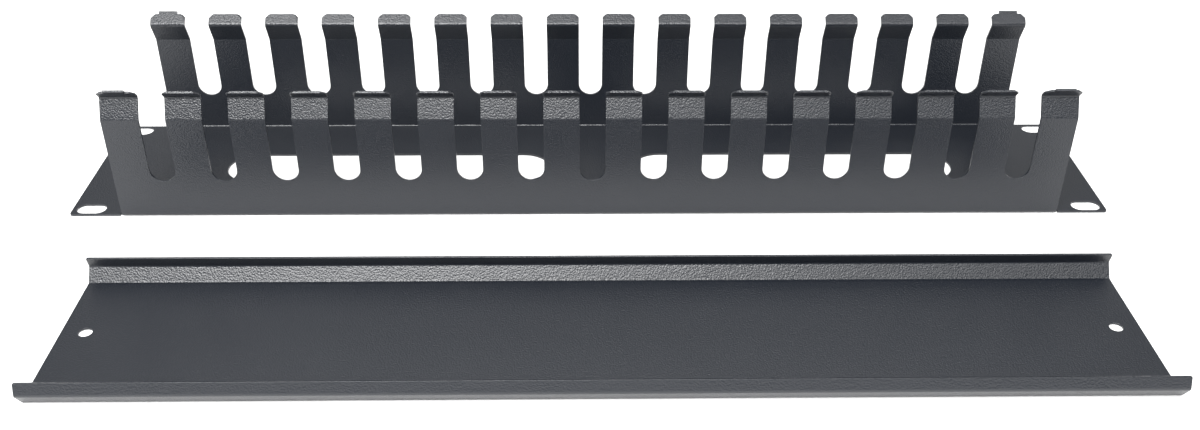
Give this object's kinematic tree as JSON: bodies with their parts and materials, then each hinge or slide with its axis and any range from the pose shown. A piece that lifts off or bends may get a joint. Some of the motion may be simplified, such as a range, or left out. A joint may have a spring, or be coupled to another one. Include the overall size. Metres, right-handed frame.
{
  "type": "horizontal cable manager",
  "caption": "Two-unit rack cable manager: a folded steel channel with slotted finger walls, ears with slots and base openings, and a loose cover lying beside it.",
  "frame": {"origin": "middle of the finger panel's underside, in the plane that faces the rack posts", "axes": "+X along the rack's width, +Z out of the channel away from the rack posts, +Y across the two rows of fingers"},
  "size_m": [0.4826, 0.2224, 0.0649],
  "materials": {
    "panel_coat": "matte powder coat with a fine orange-peel texture",
    "cover_coat": "matte powder coat with a fine orange-peel texture"
  },
  "bodies": {
    "root": {"finger_panel": "panel_coat", "snap_cover": "cover_coat"}
  },
  "joints": []
}
